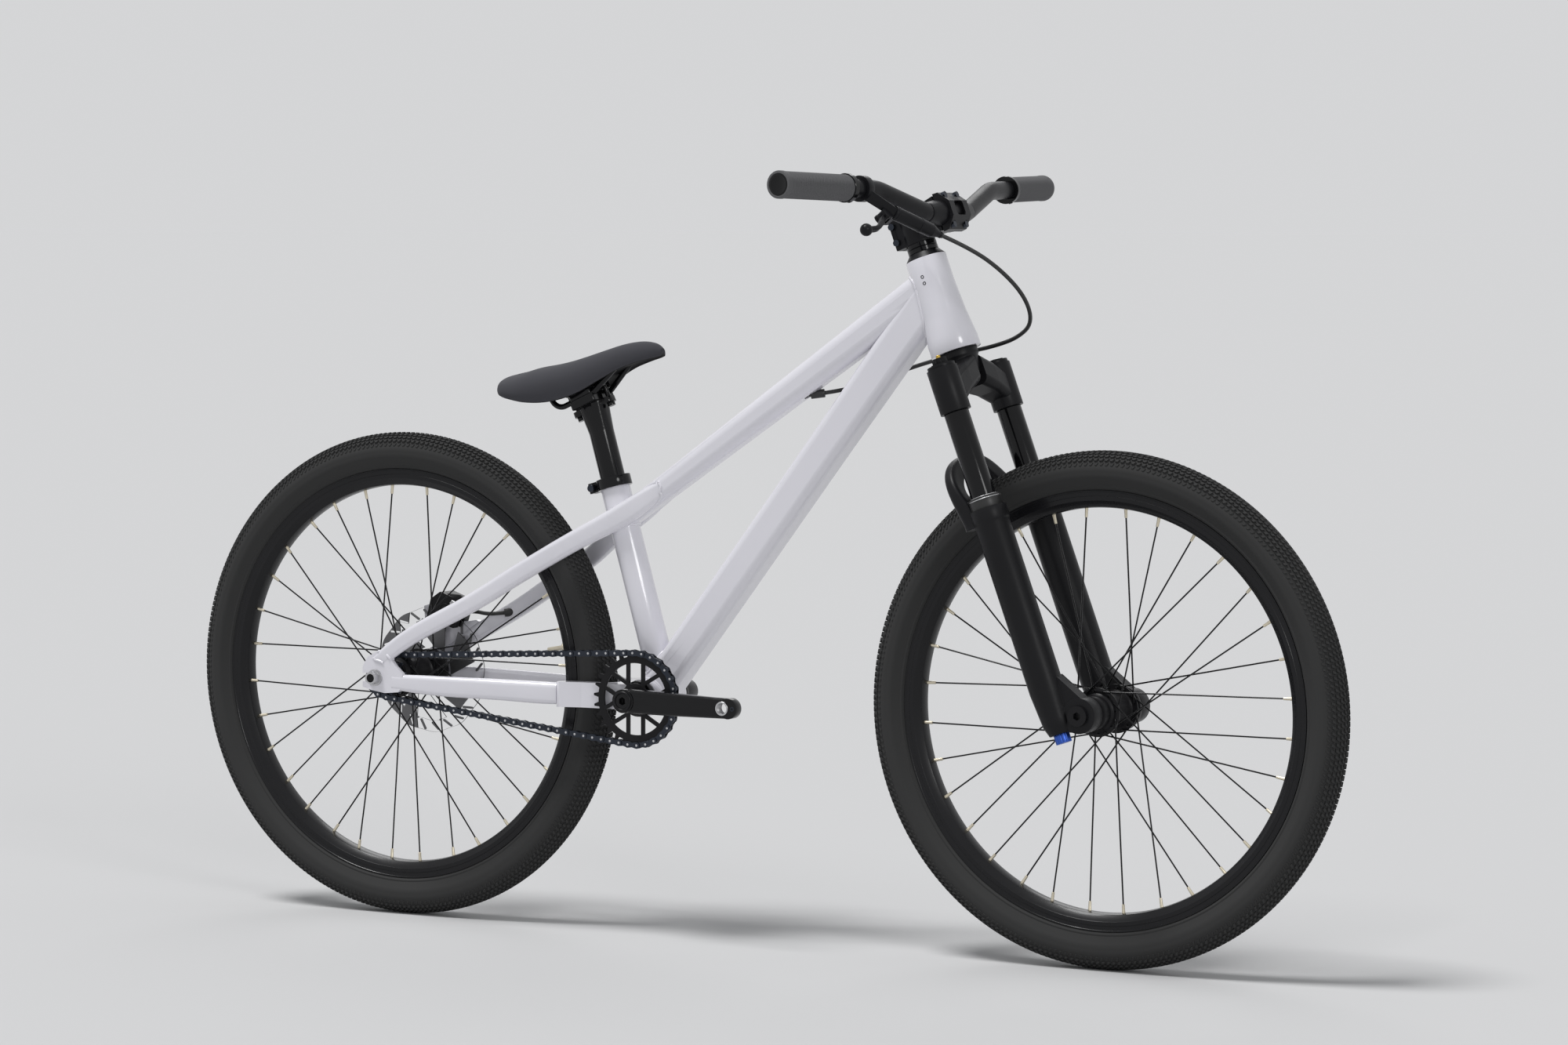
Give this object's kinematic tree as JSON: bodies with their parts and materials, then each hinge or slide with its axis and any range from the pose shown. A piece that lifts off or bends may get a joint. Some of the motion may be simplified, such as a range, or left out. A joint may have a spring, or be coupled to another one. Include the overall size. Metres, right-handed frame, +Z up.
{
  "type": "dirt jump bicycle",
  "caption": "Rigid-framed jump bicycle with a sprung fork, a rear disc brake, a low saddle and a short chain drive.",
  "frame": {"origin": "on the ground, midway between the two wheel axles", "axes": "+X forwards, +Y to the rider's left, +Z up"},
  "size_m": [1.5868, 0.6878, 0.9352],
  "materials": {
    "frame_paint": "gloss",
    "bearing_steel": "satin",
    "black_alloy": "satin",
    "axle_steel": "satin",
    "caliper_paint": "satin",
    "hose_rubber": "satin",
    "grommet_rubber": "matt",
    "rotor_steel": "brushed",
    "bolt_steel": "satin",
    "chain_steel": "satin",
    "ring_paint": "satin",
    "cog_steel": "satin",
    "crank_paint": "gloss",
    "stanchion_black": "gloss",
    "lower_paint": "satin",
    "seal_rubber": "matt",
    "dial_brass": "anodised",
    "knob_blue": "anodised",
    "tyre_rubber": "matt",
    "rim_paint": "satin",
    "spoke_black": "satin",
    "nipple_brass": "satin",
    "hub_paint": "satin",
    "bar_paint": "satin",
    "grip_rubber": "matt",
    "collar_alloy": "satin",
    "lever_paint": "satin",
    "post_paint": "gloss",
    "rail_steel": "satin",
    "saddle_cover": "matt",
    "pad_plate": "rough"
  },
  "bodies": {
    "frame": {"head_tube": "frame_paint", "headset_bearings": "bearing_steel", "bottom_bracket_shell": "frame_paint", "bottom_bracket_cups": "black_alloy", "down_tube": "frame_paint", "seat_tube": "frame_paint", "top_tube": "frame_paint", "drive_chainstay": "frame_paint", "brake_chainstay": "frame_paint", "drive_seatstay": "frame_paint", "brake_seatstay": "frame_paint", "seat_collar": "collar_alloy", "seat_collar_bolt": "bolt_steel", "rear_axle": "axle_steel", "brake_caliper": "caliper_paint", "brake_hose_rear": "hose_rubber", "hose_grommets": "grommet_rubber", "chain": "chain_steel"},
    "steering": {"fork_crown": "lower_paint", "stanchions": "stanchion_black", "fork_top_caps": "black_alloy", "headset_cover": "black_alloy", "stem": "black_alloy", "stem_bolts": "bolt_steel", "stem_faceplate": "black_alloy", "handlebar": "bar_paint", "grips": "grip_rubber", "grip_collars": "collar_alloy", "lever_body": "lever_paint", "brake_hose_front": "hose_rubber"},
    "compression_knob": {"compression_dial": "dial_brass"},
    "lever": {"lever_blade": "lever_paint"},
    "lower_legs": {"fork_lowers": "lower_paint", "fork_seals": "seal_rubber", "front_thru_axle": "black_alloy"},
    "rebound_adjuster": {"rebound_knob": "knob_blue"},
    "front_wheel": {"front_tyre": "tyre_rubber", "front_rim": "rim_paint", "front_spokes": "spoke_black", "front_nipples": "nipple_brass", "front_valve": "nipple_brass", "front_hub": "hub_paint"},
    "rear_wheel": {"rear_tyre": "tyre_rubber", "rear_rim": "rim_paint", "rear_spokes": "spoke_black", "rear_nipples": "nipple_brass", "rear_valve": "nipple_brass", "rear_hub": "hub_paint", "brake_rotor": "rotor_steel", "rotor_bolts": "bolt_steel"},
    "driver": {"driver_cog": "cog_steel"},
    "crank": {"crank_arms": "crank_paint", "crank_spindle": "axle_steel", "chainring": "ring_paint"},
    "inner_pad": {"inner_brake_pad": "pad_plate"},
    "outer_pad": {"outer_brake_pad": "pad_plate"},
    "seat_post_and_saddle": {"seatpost": "post_paint", "saddle_clamp": "post_paint", "saddle_rails": "rail_steel", "saddle": "saddle_cover"}
  },
  "joints": [
    {"name": "steer", "type": "hinge", "parent": "frame", "child": "steering", "pos_m": [0.2892, 0, 0.723], "axis": [-0.3494, 0, 0.937], "range_deg": [-80, 80], "deforming": ["brake_hose_front"]},
    {"name": "fork_travel", "type": "slide", "parent": "steering", "child": "lower_legs", "axis": [-0.3494, 0, 0.937], "range_m": [0, 0.1], "stiffness_N_per_m": 3000, "springref_m": -0.03},
    {"name": "front_wheel_spin", "type": "hinge", "parent": "lower_legs", "child": "front_wheel", "pos_m": [0.488, 0, 0.3055], "axis": [0, 1, 0], "continuous": true},
    {"name": "rear_wheel_spin", "type": "hinge", "parent": "frame", "child": "rear_wheel", "pos_m": [-0.488, 0, 0.3055], "axis": [0, 1, 0], "continuous": true},
    {"name": "crank_spin", "type": "hinge", "parent": "frame", "child": "crank", "pos_m": [-0.12434, 0, 0.2935], "axis": [0, 1, 0], "continuous": true, "deforming": ["chain"]},
    {"name": "cog_spin", "type": "hinge", "parent": "frame", "child": "driver", "pos_m": [-0.488, 0, 0.3055], "axis": [0, 1, 0], "continuous": true},
    {"name": "brake_lever", "type": "hinge", "parent": "steering", "child": "lever", "pos_m": [0.2805, -0.172, 0.883], "axis": [-0.7682, 0, -0.6402], "range_deg": [0, 24], "stiffness_Nm_per_rad": 0.6, "springref_deg": -20.05},
    {"name": "inner_pad_travel", "type": "slide", "parent": "frame", "child": "inner_pad", "axis": [0, 1, 0], "range_m": [0, 0.00034]},
    {"name": "outer_pad_travel", "type": "slide", "parent": "frame", "child": "outer_pad", "axis": [0, -1, 0], "range_m": [0, 0.00034]},
    {"name": "compression_turn", "type": "hinge", "parent": "steering", "child": "compression_knob", "pos_m": [0.30322, -0.0695, 0.71115], "axis": [-0.3494, 0, 0.937], "range_deg": [0, 300]},
    {"name": "rebound_turn", "type": "hinge", "parent": "lower_legs", "child": "rebound_adjuster", "pos_m": [0.46464, -0.0695, 0.27827], "axis": [-0.3494, 0, 0.937], "range_deg": [0, 300]},
    {"name": "seatpost_height", "type": "slide", "parent": "frame", "child": "seat_post_and_saddle", "axis": [-0.2782, 0, 0.9605], "range_m": [-0.01, 0.045]}
  ],
  "couplings": [
    {"joint": "cog_spin", "follows": "crank_spin", "ratio": 2.1538},
    {"joint": "inner_pad_travel", "follows": "brake_lever", "m_per_rad": 0.00078782},
    {"joint": "outer_pad_travel", "follows": "brake_lever", "m_per_rad": 0.00078782}
  ]
}
